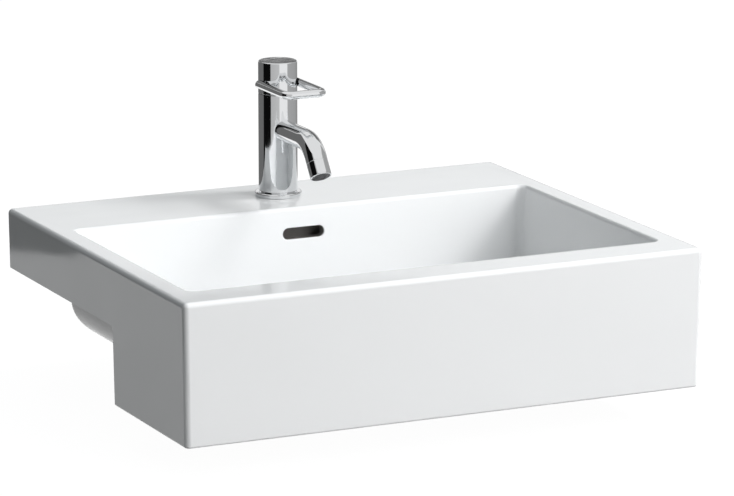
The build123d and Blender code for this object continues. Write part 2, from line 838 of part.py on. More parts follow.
with BuildPart() as fixing_stud:
    with BuildSketch(Plane.XY.offset(stud_bottom)) as stud:
        with Locations((0, tap_y - stud_offset)):
            Circle(stud_radius)
    extrude(stud.sketch, amount=spigot_bottom + stud_grip - stud_bottom)
fixing_stud.part.label = "fixing_stud"
export_step(fixing_stud.part, "parts/fixing_stud.step")

with BuildPart() as horseshoe_gasket:
    horseshoe(shoe_washer_top, shoe_gasket_height)
horseshoe_gasket.part.label = "horseshoe_gasket"
export_step(horseshoe_gasket.part, "parts/horseshoe_gasket.step")

with BuildPart() as horseshoe_washer:
    horseshoe(fixing_nut_top, shoe_washer_height)
horseshoe_washer.part.label = "horseshoe_washer"
export_step(horseshoe_washer.part, "parts/horseshoe_washer.step")

with BuildPart() as fixing_nut:
    with BuildSketch(Plane.XY.offset(fixing_nut_top)) as nut_outline:
        with Locations((0, tap_y - stud_offset)):
            RegularPolygon(fixing_nut_flats / 2, 6, major_radius=False)
            Circle(stud_radius + thread_clearance, mode=Mode.SUBTRACT)
    extrude(nut_outline.sketch, amount=-fixing_nut_height)
fixing_nut.part.label = "fixing_nut"
export_step(fixing_nut.part, "parts/fixing_nut.step")

# Waste: flange and tail clamp the floor of the bowl between two seals, and a domed cover pushes open
flange_z = recess_z + top_seal_height
flange_top = flange_z + flange_height
seat_z = flange_top - seat_depth
tail_bore = tail_radius - tail_wall
tail_bottom = flange_z - tail_length
slip_top = boss_bottom - bottom_seal_height
waste_nut_top = slip_top - slip_height
waste_nut_bottom = waste_nut_top - waste_nut_height
guide_top = flange_z - guide_drop
cover_z = flange_top + cover_lift
dome_z = cover_z + cover_edge + cover_dome
dome_radius = ((cover_radius - cover_flat) ** 2 + cover_dome**2) / (2 * cover_dome)
dome_angle = degrees(asin((cover_radius - cover_flat) / dome_radius))
stem_bottom = guide_top - plug_travel - guide_hold

with BuildPart() as waste_flange:
    turn(
        [
            (flange_bore, flange_z - flange_spigot),
            (tail_bore - joint_clearance, flange_z - flange_spigot),
            (tail_bore - joint_clearance, flange_z),
            (flange_radius, flange_z),
            (flange_radius, flange_top),
            (seat_radius, flange_top),
            (seat_radius, seat_z),
            (flange_bore, seat_z),
        ],
        waste_front,
        waste_axis,
    )
    chamfer(edges().filter_by(GeomType.CIRCLE).group_by(Axis.Z)[-1], flange_chamfer)
waste_flange.part.label = "waste_flange"
export_step(waste_flange.part, "parts/waste_flange.step")

with BuildPart() as waste_top_seal:
    turn_ring(tail_radius + tail_clearance, top_seal_outer, recess_z, flange_z, waste_front, waste_axis)
waste_top_seal.part.label = "waste_top_seal"
export_step(waste_top_seal.part, "parts/waste_top_seal.step")

with BuildPart() as waste_body:
    turn_ring(tail_bore, tail_radius, tail_bottom, flange_z, waste_front, waste_axis)
    with BuildSketch(Plane.XY.offset(boss_bottom + duct_wall)) as windows:
        with Locations((0, waste_y)):
            with PolarLocations(tail_radius, window_count):
                Rectangle(tail_radius, window_width)
    extrude(windows.sketch, amount=duct_height, mode=Mode.SUBTRACT)
    turn_ring(
        tail_radius - tail_relief,
        tail_radius + tail_relief,
        waste_nut_bottom - tail_relief_height,
        waste_nut_bottom,
        waste_front,
        waste_axis,
        Mode.SUBTRACT,
    )
waste_body.part.label = "waste_body"
export_step(waste_body.part, "parts/waste_body.step")

with BuildPart() as waste_bottom_seal:
    turn(
        [
            (tail_radius + tail_clearance, slip_top),
            (bottom_seal_outer - bottom_seal_taper, slip_top),
            (bottom_seal_outer, boss_bottom - bottom_seal_height / 2),
            (bottom_seal_outer, boss_bottom),
            (tail_radius + tail_clearance, boss_bottom),
        ],
        waste_front,
        waste_axis,
    )
waste_bottom_seal.part.label = "waste_bottom_seal"
export_step(waste_bottom_seal.part, "parts/waste_bottom_seal.step")

with BuildPart() as slip_washer:
    turn_ring(tail_radius + tail_clearance, slip_outer, waste_nut_top, slip_top, waste_front, waste_axis)
slip_washer.part.label = "slip_washer"
export_step(slip_washer.part, "parts/slip_washer.step")

with BuildPart() as waste_nut:
    with BuildSketch(Plane.XY.offset(waste_nut_bottom)) as hexagon:
        with Locations((0, waste_y)):
            RegularPolygon(waste_nut_radius, 6)
            Circle(tail_radius + joint_clearance, mode=Mode.SUBTRACT)
    extrude(hexagon.sketch, amount=waste_nut_height)
waste_nut.part.label = "waste_nut"
export_step(waste_nut.part, "parts/waste_nut.step")

with BuildPart() as plug_guide:
    turn_ring(0, guide_radius, stem_bottom - guide_spare - guide_floor, guide_top, waste_front, waste_axis)
    with BuildSketch(Plane.XY.offset(guide_top)) as arms:
        with Locations((0, waste_y)):
            with PolarLocations(tail_bore / 2, guide_arm_count):
                Rectangle(tail_bore, guide_arm_width)
            Circle(tail_bore - thread_clearance, mode=Mode.INTERSECT)
    extrude(arms.sketch, amount=-guide_arm_height)
    turn_ring(
        0,
        plug_stem_radius + guide_fit,
        stem_bottom - guide_spare,
        guide_top,
        waste_front,
        waste_axis,
        Mode.SUBTRACT,
    )
plug_guide.part.label = "plug_guide"
export_step(plug_guide.part, "parts/plug_guide.step")

with BuildPart() as plug_cover:
    with BuildSketch(waste_front) as cover_section:
        with BuildLine():
            crown = CenterArc((cover_flat, dome_z - dome_radius), dome_radius, 90 - dome_angle, dome_angle)
            Polyline(crown @ 1, (0, dome_z), (0, cover_z), (cover_radius, cover_z), crown @ 0)
        make_face()
    revolve(cover_section.sketch, axis=waste_axis)
    brow = edges().filter_by(GeomType.CIRCLE).group_by(lambda edge: edge.length)[-1].sort_by(Axis.Z)[-1]
    chamfer(brow, cover_chamfer)
plug_cover.part.label = "plug_cover"
export_step(plug_cover.part, "parts/plug_cover.step")

with BuildPart() as plug_seal:
    turn_ring(plug_seal_inner, plug_seal_outer, seat_z, cover_z, waste_front, waste_axis)
plug_seal.part.label = "plug_seal"
export_step(plug_seal.part, "parts/plug_seal.step")

with BuildPart() as plug_stem:
    turn_ring(0, plug_stem_radius, stem_bottom, cover_z, waste_front, waste_axis)
plug_stem.part.label = "plug_stem"
export_step(plug_stem.part, "parts/plug_stem.step")
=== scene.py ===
"""Looks of an inset basin with a loop-lever tap and a push-open waste, on a pale studio floor."""

import json
import logging
from dataclasses import dataclass
from enum import Enum
from math import cos, pi, radians, sin

import bpy
import numpy as np
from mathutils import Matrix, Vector


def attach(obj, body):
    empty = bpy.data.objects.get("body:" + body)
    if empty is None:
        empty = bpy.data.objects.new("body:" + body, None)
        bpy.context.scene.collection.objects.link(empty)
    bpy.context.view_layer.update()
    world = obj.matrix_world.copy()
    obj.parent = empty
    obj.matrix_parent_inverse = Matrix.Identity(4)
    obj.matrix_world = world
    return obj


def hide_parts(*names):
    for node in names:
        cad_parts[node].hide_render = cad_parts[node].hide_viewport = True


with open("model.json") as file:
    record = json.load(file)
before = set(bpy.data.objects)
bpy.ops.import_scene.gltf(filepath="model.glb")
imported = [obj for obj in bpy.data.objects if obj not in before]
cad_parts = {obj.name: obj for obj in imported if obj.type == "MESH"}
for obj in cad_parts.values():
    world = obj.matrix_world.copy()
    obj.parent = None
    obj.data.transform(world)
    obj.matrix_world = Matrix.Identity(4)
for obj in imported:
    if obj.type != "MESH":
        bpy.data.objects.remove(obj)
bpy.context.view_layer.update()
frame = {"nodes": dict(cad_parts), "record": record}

MM = 0.001
BREAK_ANGLE = radians(32)
MERGE_DISTANCE = 0.000002
TINY = 1e-12
SCREEN_POINTS = 721
Colour = tuple[float, float, float, float]
Point = tuple[float, float, float]

log = logging.getLogger("inset_basin")


class Body(Enum):
    """The rigid bodies that pieces ride on."""

    BASIN = "basin"
    HEAD = "tap_head"
    LEVER = "lever"
    PLUG = "plug"


class Slot(Enum):
    """The record's material slots."""

    CERAMIC = "glazed_ceramic"
    DISC = "disc_ceramic"
    TAP = "tap_chrome"
    WASTE = "waste_chrome"
    BRASS = "raw_brass"
    STEEL = "steel"
    RUBBER = "black_rubber"
    DARK = "dark_plastic"
    PALE = "white_plastic"


class Graph:
    """Adds nodes to one node tree and links them."""

    def __init__(self, tree: bpy.types.NodeTree) -> None:
        """Keep the tree that nodes are added to."""
        self.tree = tree

    def node(self, kind: str, inputs: dict | None = None, **settings: object) -> bpy.types.Node:
        """Add a node.

        Args:
            kind: Blender's name of the node's type.
            inputs: A value or an output socket for each input, by name or number.
            settings: The node's own properties.

        Returns:
            The node.
        """
        made = self.tree.nodes.new(kind)
        for name, value in settings.items():
            setattr(made, name, value)
        for name, value in (inputs or {}).items():
            if isinstance(value, bpy.types.NodeSocket):
                self.tree.links.new(value, made.inputs[name])
            else:
                made.inputs[name].default_value = value
        return made

    def math(self, operation: str, first: object, second: object = 0.0) -> bpy.types.NodeSocket:
        """Add a Math node.

        Args:
            operation: Blender's name of the operation.
            first: A value or an output socket.
            second: A value or an output socket.

        Returns:
            The result's socket.
        """
        return self.node("ShaderNodeMath", {0: first, 1: second}, operation=operation).outputs[0]


class Effects:
    """Shader groups that several finishes share. Each is built once, on Object coordinates."""

    def __init__(self) -> None:
        """Build the groups."""
        self.ripple = self._ripple()
        self.smudge = self._smudge()
        self.grain = self._grain()
        self.turning = self._turning()

    @staticmethod
    def _start(name: str, inputs: dict[str, float], output: str) -> tuple[Graph, dict, bpy.types.Node]:
        """Make an empty group.

        Args:
            name: The group's name.
            inputs: The value sockets and their defaults.
            output: The name of the value that it puts out.

        Returns:
            The graph, the input sockets by name, and the output node.
        """
        tree = bpy.data.node_groups.new(name, "ShaderNodeTree")
        for key, value in inputs.items():
            socket = tree.interface.new_socket(key, in_out="INPUT", socket_type="NodeSocketFloat")
            socket.default_value = value
        tree.interface.new_socket(output, in_out="OUTPUT", socket_type="NodeSocketFloat")
        graph = Graph(tree)
        entry = graph.node("NodeGroupInput")
        return graph, {key: entry.outputs[key] for key in inputs}, graph.node("NodeGroupOutput")

    def _ripple(self) -> bpy.types.NodeTree:
        """Build the slow waves and the fine peel that a fired or plated skin has, as a height."""
        graph, given, end = self._start(
            "skin_ripple", {"Wave Scale": 14.0, "Peel Scale": 420.0, "Peel Share": 0.04}, "Height"
        )
        place = graph.node("ShaderNodeTexCoord").outputs["Object"]
        wave = graph.node(
            "ShaderNodeTexNoise", {"Vector": place, "Scale": given["Wave Scale"], "Detail": 1.0}
        ).outputs[0]
        peel = graph.node(
            "ShaderNodeTexNoise", {"Vector": place, "Scale": given["Peel Scale"], "Detail": 1.0}
        ).outputs[0]
        height = graph.math("ADD", wave, graph.math("MULTIPLY", peel, given["Peel Share"]))
        graph.tree.links.new(height, end.inputs["Height"])
        return graph.tree

    def _smudge(self) -> bpy.types.NodeTree:
        """Build the patchy roughness that handling and wiping leave."""
        graph, given, end = self._start(
            "wiped_smudge", {"Scale": 40.0, "Low": 0.03, "High": 0.08}, "Roughness"
        )
        place = graph.node("ShaderNodeTexCoord").outputs["Object"]
        patch = graph.node(
            "ShaderNodeTexNoise", {"Vector": place, "Scale": given["Scale"], "Detail": 4.0, "Roughness": 0.6}
        ).outputs[0]
        rough = graph.node(
            "ShaderNodeMapRange",
            {
                "Value": patch,
                "From Min": 0.35,
                "From Max": 0.7,
                "To Min": given["Low"],
                "To Max": given["High"],
            },
        ).outputs[0]
        graph.tree.links.new(rough, end.inputs["Roughness"])
        return graph.tree

    def _grain(self) -> bpy.types.NodeTree:
        """Build the pitted grain of a moulded or cast face, as a height."""
        graph, given, end = self._start("moulded_grain", {"Scale": 1500.0}, "Height")
        place = graph.node("ShaderNodeTexCoord").outputs["Object"]
        cell = graph.node(
            "ShaderNodeTexVoronoi", {"Vector": place, "Scale": given["Scale"]}
        ).outputs["Distance"]
        cloud = graph.node(
            "ShaderNodeTexNoise", {"Vector": place, "Scale": given["Scale"], "Detail": 3.0}
        ).outputs[0]
        graph.tree.links.new(graph.math("MULTIPLY", cell, cloud), end.inputs["Height"])
        return graph.tree

    def _turning(self) -> bpy.types.NodeTree:
        """Build the fine rings that a lathe tool leaves round an upright axis, as a height."""
        graph, given, end = self._start("turned_rings", {"Axis Y": -0.059, "Rings": 2200.0}, "Height")
        place = graph.node("ShaderNodeTexCoord").outputs["Object"]
        parts = graph.node("ShaderNodeSeparateXYZ", {0: place})
        across = graph.math("SUBTRACT", parts.outputs["Y"], given["Axis Y"])
        reach = graph.math(
            "SQRT",
            graph.math(
                "ADD",
                graph.math("MULTIPLY", parts.outputs["X"], parts.outputs["X"]),
                graph.math("MULTIPLY", across, across),
            ),
        )
        run = graph.math("ADD", reach, parts.outputs["Z"])
        wave = graph.math("SINE", graph.math("MULTIPLY", run, given["Rings"]))
        graph.tree.links.new(wave, end.inputs["Height"])
        return graph.tree


@dataclass(frozen=True)
class Finish:
    """A finish: constants for the shader's own sockets, and how its shared effects are set."""

    name: str
    colour: Colour
    metal: float = 0.0
    refraction: float = 1.5
    rough: tuple[float, float] = (0.3, 0.4)
    smudge_scale: float = 40.0
    relief: float = 0.0
    waves: tuple[float, float, float] = (14.0, 420.0, 0.03)

    def _shader(self, graph: Graph, **inputs: object) -> bpy.types.Node:
        """Add the surface shader and the output, with the finish's constants.

        Args:
            graph: The material's graph.
            inputs: What else the shader's inputs are given.

        Returns:
            The shader.
        """
        shader = graph.node(
            "ShaderNodeBsdfPrincipled",
            {"Base Color": self.colour, "Metallic": self.metal, "IOR": self.refraction, **inputs},
        )
        graph.node("ShaderNodeOutputMaterial", {"Surface": shader.outputs[0]})
        return shader

    def _roughness(self, graph: Graph, effects: Effects) -> bpy.types.NodeSocket:
        """Add the shared smudge.

        Args:
            graph: The material's graph.
            effects: The shared shader groups.

        Returns:
            The roughness.
        """
        low, high = self.rough
        return self._group(graph, effects.smudge, {"Scale": self.smudge_scale, "Low": low, "High": high})

    def _swell(self, graph: Graph, effects: Effects) -> bpy.types.NodeSocket:
        """Add the shared ripple.

        Args:
            graph: The material's graph.
            effects: The shared shader groups.

        Returns:
            The normal of the rippled skin.
        """
        wave, peel, share = self.waves
        given = {"Wave Scale": wave, "Peel Scale": peel, "Peel Share": share}
        return self._bump(graph, self._group(graph, effects.ripple, given), self.relief)

    @staticmethod
    def _group(graph: Graph, tree: bpy.types.NodeTree, inputs: dict[str, float]) -> bpy.types.NodeSocket:
        """Place a shared group with its own values.

        Args:
            graph: The material's graph.
            tree: The group.
            inputs: The values of its sockets.

        Returns:
            What it puts out.
        """
        placed = graph.node("ShaderNodeGroup", node_tree=tree)
        for key, value in inputs.items():
            placed.inputs[key].default_value = value
        return placed.outputs[0]

    @staticmethod
    def _bump(graph: Graph, height: bpy.types.NodeSocket, depth: float) -> bpy.types.NodeSocket:
        """Turn a height into a normal.

        Args:
            graph: The material's graph.
            height: The height.
            depth: How deep a height of 1 is, in metres.

        Returns:
            The normal.
        """
        inputs = {"Height": height, "Distance": depth, "Strength": 1.0}
        return graph.node("ShaderNodeBump", inputs).outputs[0]

    def material(self, effects: Effects) -> bpy.types.Material:
        """Make the material.

        Args:
            effects: The shared shader groups.

        Returns:
            The material.
        """
        made = bpy.data.materials.new(self.name)
        made.use_nodes = True
        made.node_tree.nodes.clear()
        self.paint(Graph(made.node_tree), effects)
        return made

    def paint(self, graph: Graph, effects: Effects) -> None:
        """Add the finish's nodes."""
        raise NotImplementedError


@dataclass(frozen=True)
class Glaze(Finish):
    """White glaze over a fired body, left bare where the casting stood in the kiln, and dark inside the
    overflow's duct: bare body there, darkened further as painted shade.
    """

    bare: Colour = (0.74, 0.71, 0.66, 1.0)
    bare_rough: float = 0.75
    bare_range: tuple[float, float] = (-0.86, -0.92)
    bare_wander: float = 0.1
    # Colour inside the overflow's duct: unglazed body, made far darker than the bare body as painted shade in
    # the recess.
    duct: Colour = (0.2, 0.19, 0.18, 1.0)
    duct_front: float = -0.1195
    duct_back: float = -0.0995
    duct_half: float = 0.0285
    duct_top: float = 0.0435
    duct_blend: float = 0.002

    def _duct_painted_shade_mask(self, graph: Graph) -> bpy.types.NodeSocket:
        """Return 1 inside the overflow's duct, which no glaze reaches and where shade is painted dark, and 0
        elsewhere.
        """
        place = graph.node("ShaderNodeSeparateXYZ", {0: graph.node("ShaderNodeTexCoord").outputs["Object"]})
        inside = graph.node(
            "ShaderNodeMapRange",
            {
                "Value": place.outputs["Y"],
                "From Min": self.duct_front - self.duct_blend,
                "From Max": self.duct_front,
            },
        ).outputs[0]
        for reading, limit in (
            (place.outputs["Y"], self.duct_back),
            (graph.math("ABSOLUTE", place.outputs["X"]), self.duct_half),
            (place.outputs["Z"], self.duct_top),
        ):
            inside = graph.math("MULTIPLY", inside, graph.math("LESS_THAN", reading, limit))
        return inside

    def paint(self, graph: Graph, effects: Effects) -> None:
        """Mix glaze and bare body by how far a face looks down, paint shade inside the overflow's duct, and
        lay the ripple over both.

        Args:
            graph: The material's graph.
            effects: The shared shader groups.
        """
        down = graph.node(
            "ShaderNodeSeparateXYZ", {0: graph.node("ShaderNodeNewGeometry").outputs["Normal"]}
        ).outputs["Z"]
        edge = graph.node(
            "ShaderNodeTexNoise",
            {"Vector": graph.node("ShaderNodeTexCoord").outputs["Object"], "Scale": 90.0, "Detail": 3.0},
        ).outputs[0]
        worn = graph.math("ADD", down, graph.math("MULTIPLY", edge, self.bare_wander))
        glazed, bare = self.bare_range
        mask = graph.node(
            "ShaderNodeMapRange",
            {"Value": worn, "From Min": glazed, "From Max": bare, "To Min": 0.0, "To Max": 1.0},
        ).outputs[0]
        skin_colour = graph.node(
            "ShaderNodeMix", {0: mask, 6: self.colour, 7: self.bare}, data_type="RGBA"
        ).outputs[2]
        # Painted shade: the inside of the overflow's duct takes the dark duct colour.
        colour = graph.node(
            "ShaderNodeMix", {0: self._duct_painted_shade_mask(graph), 6: skin_colour, 7: self.duct}, data_type="RGBA"
        ).outputs[2]
        rough = graph.node(
            "ShaderNodeMapRange",
            {"Value": mask, "To Min": self._roughness(graph, effects), "To Max": self.bare_rough},
        ).outputs[0]
        inputs = {"Base Color": colour, "Roughness": rough, "Normal": self._swell(graph, effects)}
        self._shader(graph, **inputs)


@dataclass(frozen=True)
class Plating(Finish):
    """Polished chrome plating, with a faint swell from the polishing wheel."""

    waves: tuple[float, float, float] = (70.0, 900.0, 0.02)

    def paint(self, graph: Graph, effects: Effects) -> None:
        """Lay the ripple and the smudges over a metal."""
        self._shader(graph, Roughness=self._roughness(graph, effects), Normal=self._swell(graph, effects))


@dataclass(frozen=True)
class Turned(Finish):
    """Bare metal off the lathe."""

    axis_y: float = -0.059
    rings: float = 9000.0

    def paint(self, graph: Graph, effects: Effects) -> None:
        """Lay tool rings and a patchy tarnish over a metal."""
        rings = self._group(graph, effects.turning, {"Axis Y": self.axis_y, "Rings": self.rings})
        self._shader(
            graph,
            Roughness=self._roughness(graph, effects),
            Normal=self._bump(graph, rings, self.relief),
        )


@dataclass(frozen=True)
class Moulded(Finish):
    """Rubber or plastic with the grain of its mould."""

    grain_scale: float = 1500.0

    def paint(self, graph: Graph, effects: Effects) -> None:
        """Lay the grain and the smudges over a plain body."""
        grain = self._group(graph, effects.grain, {"Scale": self.grain_scale})
        self._shader(
            graph,
            Roughness=self._roughness(graph, effects),
            Normal=self._bump(graph, grain, self.relief),
        )


FINISHES: dict[Slot, Finish] = {
    Slot.CERAMIC: Glaze(
        "white_glaze", (0.9, 0.907, 0.912, 1.0), rough=(0.07, 0.11), smudge_scale=9.0, relief=0.0006
    ),
    Slot.DISC: Moulded("lapped_alumina", (0.83, 0.8, 0.72, 1.0), rough=(0.18, 0.26), relief=0.00002),
    Slot.TAP: Plating(
        "tap_plating",
        (0.83, 0.84, 0.85, 1.0),
        metal=1.0,
        rough=(0.035, 0.075),
        smudge_scale=60.0,
        relief=0.00006,
    ),
    Slot.WASTE: Plating(
        "waste_plating",
        (0.8, 0.81, 0.82, 1.0),
        metal=1.0,
        rough=(0.05, 0.1),
        smudge_scale=50.0,
        relief=0.00006,
    ),
    Slot.BRASS: Turned(
        "turned_brass", (0.72, 0.55, 0.27, 1.0), metal=1.0, rough=(0.22, 0.36), relief=0.00002
    ),
    Slot.STEEL: Turned(
        "bright_steel", (0.56, 0.57, 0.58, 1.0), metal=1.0, rough=(0.25, 0.38), relief=0.00002
    ),
    Slot.RUBBER: Moulded("black_rubber", (0.018, 0.018, 0.019, 1.0), rough=(0.55, 0.7), relief=0.00004),
    Slot.DARK: Moulded("black_acetal", (0.02, 0.02, 0.022, 1.0), rough=(0.3, 0.42), relief=0.00002),
    Slot.PALE: Moulded("pale_acetal", (0.78, 0.78, 0.75, 1.0), rough=(0.35, 0.48), relief=0.00003),
}


class Workshop:
    """Dresses CAD nodes and new pieces, and keeps what they share."""

    def __init__(self) -> None:
        """Build the shared effects, the materials and the smoothing group."""
        effects = Effects()
        self.materials = {slot: finish.material(effects) for slot, finish in FINISHES.items()}
        self.smoothing = self._smoothing()

    @staticmethod
    def _smoothing() -> bpy.types.NodeTree:
        """Build the group that joins a node's loose triangles and smooths all but its sharp edges."""
        tree = bpy.data.node_groups.new("join_and_smooth", "GeometryNodeTree")
        for way in ("INPUT", "OUTPUT"):
            tree.interface.new_socket("Geometry", in_out=way, socket_type="NodeSocketGeometry")
        graph = Graph(tree)
        joined = graph.node(
            "GeometryNodeMergeByDistance",
            {"Geometry": graph.node("NodeGroupInput").outputs[0], "Distance": MERGE_DISTANCE},
        )
        angle = graph.node("GeometryNodeInputMeshEdgeAngle").outputs["Unsigned Angle"]
        gentle = graph.node(
            "FunctionNodeCompare", {0: angle, 1: BREAK_ANGLE}, operation="LESS_EQUAL"
        ).outputs[0]
        faces = graph.node(
            "GeometryNodeSetShadeSmooth", {"Geometry": joined.outputs[0], "Shade Smooth": True}, domain="FACE"
        )
        edges = graph.node(
            "GeometryNodeSetShadeSmooth",
            {"Geometry": faces.outputs[0], "Shade Smooth": gentle},
            domain="EDGE",
        )
        graph.node("NodeGroupOutput", {0: edges.outputs[0]})
        return tree

    def dress_node(self, name: str, slot: Slot) -> None:
        """Give a CAD node smooth shading and its finish.

        Args:
            name: The node.
            slot: Its material slot.
        """
        node = frame["nodes"][name]
        smooth = node.modifiers.new("smooth", "NODES")
        smooth.node_group = self.smoothing
        weigh = node.modifiers.new("weigh", "WEIGHTED_NORMAL")
        weigh.keep_sharp = True
        node.data.materials.clear()
        node.data.materials.append(self.materials[slot])
        log.info("dressed %s as %s", name, slot.value)


def eased(points: list[tuple[float, float]], radii: list[float], closed: bool, steps: int = 6) -> np.ndarray:
    """Round the corners of a flat outline.

    At a corner with unit directions a and b to its neighbours and half angle h, the arc of radius r has its
    centre at corner + r / sin(h) * (a + b) / |a + b| and touches both sides at r / tan(h) from the corner.

    Args:
        points: The corners.
        radii: A radius for each corner, 0 where it stays sharp.
        closed: Whether the last corner joins the first.
        steps: The number of pieces in each arc.

    Returns:
        The rounded outline, one row a point.
    """
    corner = np.asarray(points, float)
    radius = np.asarray(radii, float)[:, None]
    before = np.roll(corner, 1, 0) - corner
    after = np.roll(corner, -1, 0) - corner
    before /= np.maximum(np.linalg.norm(before, axis=1, keepdims=True), TINY)
    after /= np.maximum(np.linalg.norm(after, axis=1, keepdims=True), TINY)
    middle = before + after
    middle /= np.maximum(np.linalg.norm(middle, axis=1, keepdims=True), TINY)
    half = np.arccos(np.clip((before * middle).sum(1, keepdims=True), -1.0, 1.0))
    reach = radius / np.tan(np.maximum(half, 1e-6))
    centre = corner + middle * radius / np.maximum(np.sin(half), 1e-6)
    start, end = corner + before * reach - centre, corner + after * reach - centre
    share = np.linspace(0.0, 1.0, steps + 1)[None, :, None]
    arc = start[:, None] * (1.0 - share) + end[:, None] * share
    arc *= radius[:, None] / np.maximum(np.linalg.norm(arc, axis=2, keepdims=True), TINY)
    rows = [
        centre[k] + arc[k] if radius[k, 0] > 0 and (closed or 0 < k < len(corner) - 1) else corner[k : k + 1]
        for k in range(len(corner))
    ]
    return np.concatenate(rows)


def filled_in(outline: np.ndarray, spacing: float, closed: bool) -> np.ndarray:
    """Add points along an outline so that none lie further apart than a spacing.

    Args:
        outline: The outline, one row a point.
        spacing: The longest step allowed.
        closed: Whether the last point joins the first.

    Returns:
        The finer outline, without a second copy of the first point.
    """
    whole = np.vstack([outline, outline[:1]]) if closed else outline
    step = np.linalg.norm(np.diff(whole, axis=0), axis=1)
    along = np.concatenate([[0.0], np.cumsum(step)])
    counts = np.maximum(np.ceil(step / spacing).astype(int), 1)
    marks = [np.linspace(along[k], along[k + 1], counts[k], endpoint=False) for k in range(len(step))]
    at = np.concatenate([*marks, along[-1:]])
    fine = np.stack([np.interp(at, along, whole[:, axis]) for axis in range(whole.shape[1])], 1)
    return fine[:-1] if closed else fine


@dataclass(frozen=True)
class Route:
    """A flat path that a profile is turned about. Each leg is (length, radius or 0, turned angle)."""

    origin: Point
    heading: Point
    side: Point
    legs: tuple[tuple[float, float, float], ...]

    def place(self, run: np.ndarray) -> tuple[np.ndarray, np.ndarray]:
        """Find the path's points and its in-plane normals.

        With turned angle t(s), the integral of curvature over the distance s, the tangent is
        T = cos t * heading + sin t * normal0, the normal is N = cos t * normal0 - sin t * heading, and the
        point is origin plus the integral of T, taken leg by leg in closed form.

        Args:
            run: Distances along the path. Those beyond an end lie on its tangent.

        Returns:
            The points and the normals, one row for each distance.
        """
        ahead, across = np.array(self.heading), np.cross(self.side, self.heading)
        point = np.broadcast_to(np.array(self.origin, float), (len(run), 3)).copy()
        normal = np.broadcast_to(across, (len(run), 3)).copy()
        angle, done = 0.0, 0.0
        for number, (length, radius, turn) in enumerate(self.legs):
            last = number == len(self.legs) - 1
            part = np.minimum(run - done, np.inf if last else length)
            part = part if number == 0 else np.maximum(part, 0.0)
            here = cos(angle) * ahead + sin(angle) * across
            left = cos(angle) * across - sin(angle) * ahead
            if radius:
                bent = part / radius * (1.0 if turn > 0 else -1.0)
                point += np.abs(radius) * (
                    np.sin(np.abs(bent))[:, None] * here
                    + (np.sign(turn) * (1.0 - np.cos(bent)))[:, None] * left
                )
                normal = np.where(
                    (part > 0)[:, None], np.cos(bent)[:, None] * left - np.sin(bent)[:, None] * here, normal
                )
                angle += turn
            else:
                point += part[:, None] * here
            done += length
        return point, normal


def turned(profile: np.ndarray, route: Route, segments: int) -> np.ndarray:
    """Turn a profile about a route.

    The surface is P(i, a) = C(s_i) + r_i * (cos a * side + sin a * N(s_i)), where (s_i, r_i) is the profile,
    C the route and N its in-plane normal.

    Args:
        profile: Points of (distance along the route, radius).
        route: The route.
        segments: The number of points in each ring.

    Returns:
        The rings, in metres, as an array of (profile points, segments, 3).
    """
    centre, normal = route.place(profile[:, 0])
    angle = np.linspace(0.0, 2 * pi, segments, endpoint=False)
    spoke = np.cos(angle)[None, :, None] * np.array(route.side)
    spoke = spoke + np.sin(angle)[None, :, None] * normal[:, None]
    return (centre[:, None] + profile[:, 1][:, None, None] * spoke) * MM


def skin(name: str, rings: np.ndarray, closed: bool, finish: bpy.types.Material) -> bpy.types.Object:
    """Join rings of points into a closed mesh with outward faces.

    Args:
        name: The piece's name.
        rings: The rings, as an array of (rings, points, 3).
        closed: Whether the last ring joins the first. If not, each end is closed by a fan.
        finish: The piece's material.

    Returns:
        The piece, at the origin.
    """
    rows, count, _ = rings.shape
    index = np.arange(rows * count).reshape(rows, count)
    near, far = (index, np.roll(index, -1, 0)) if closed else (index[:-1], index[1:])
    quads = np.stack([near, np.roll(near, -1, 1), np.roll(far, -1, 1), far], -1).reshape(-1, 4)
    points = rings.reshape(-1, 3)
    faces = quads.tolist()
    if not closed:
        points = np.vstack([points, rings[0].mean(0), rings[-1].mean(0)])
        start, end = np.roll(index[0], -1), np.roll(index[-1], -1)
        first = np.stack([start, index[0], np.full(count, rows * count)], 1)
        last = np.stack([index[-1], end, np.full(count, rows * count + 1)], 1)
        faces += first.tolist() + last.tolist()
    corner = points[quads] - points.mean(0)
    volume = (np.cross(corner[:, 0], corner[:, 1]) * corner[:, 2]).sum()
    volume += (np.cross(corner[:, 0], corner[:, 2]) * corner[:, 3]).sum()
    if volume < 0:
        faces = [face[::-1] for face in faces]
    mesh = bpy.data.meshes.new(name)
    mesh.from_pydata(points.tolist(), [], faces)
    mesh.shade_smooth()
    mesh.set_sharp_from_angle(angle=BREAK_ANGLE)
    mesh.materials.append(finish)
    piece = bpy.data.objects.new(name, mesh)
    bpy.context.scene.collection.objects.link(piece)
    return piece


@dataclass
class SubAssembly:
    """A group of pieces that this script builds in place of plain solids."""

    tap_y: float = -59.0
    deck_z: float = 61.0
    segments: int = 144

    @staticmethod
    def fit(
        workshop: Workshop, name: str, rings: np.ndarray, closed: bool, slot: Slot, node: str
    ) -> None:
        """Skin a piece, and let it stand in for its node on the node's body.

        Args:
            workshop: The materials.
            name: The piece's name.
            rings: Its rings of points.
            closed: Whether its last ring joins the first.
            slot: Its material slot.
            node: The node that it stands in for.
        """
        piece = skin(name, rings, closed, workshop.materials[slot])
        bodies = frame["record"]["behaviour"]["bodies"]
        body = Body(next(key for key, nodes in bodies.items() if node in nodes)).value
        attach(piece, body)
        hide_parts(node)
        log.info("%s stands in for %s: %d faces", name, node, len(piece.data.polygons))

    @staticmethod
    def upright(y: float) -> Route:
        """Return an upright route that rises from the datum at a place on the centre line."""
        return Route((0.0, y, 0.0), (0.0, 0.0, 1.0), (1.0, 0.0, 0.0), ((1.0, 0.0, 0.0),))


